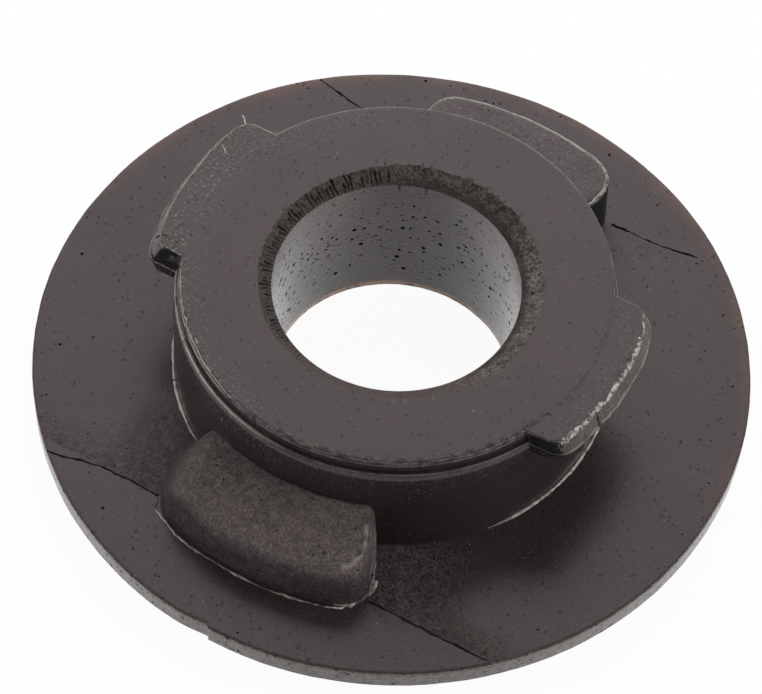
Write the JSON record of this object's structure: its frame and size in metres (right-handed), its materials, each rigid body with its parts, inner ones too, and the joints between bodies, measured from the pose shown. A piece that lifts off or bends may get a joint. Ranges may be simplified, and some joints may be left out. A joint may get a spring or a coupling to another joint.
{
  "type": "rubber grommet",
  "caption": "Moulded rubber twist-in grommet: wide flange, short neck, head with two locking lugs, two pads under the panel, and a straight chamfered bore.",
  "frame": {"origin": "middle of the flat ring round the bore's lower mouth, which is the bottom centre of the part", "axes": "+Z along the bore, from the flange to the head; X through the two locking lugs; Y through the two pads"},
  "size_m": [0.03, 0.03, 0.0077],
  "materials": {
    "rubber": "matte moulded black rubber, slightly grey"
  },
  "bodies": {
    "root": {"grommet": "rubber"}
  },
  "joints": []
}
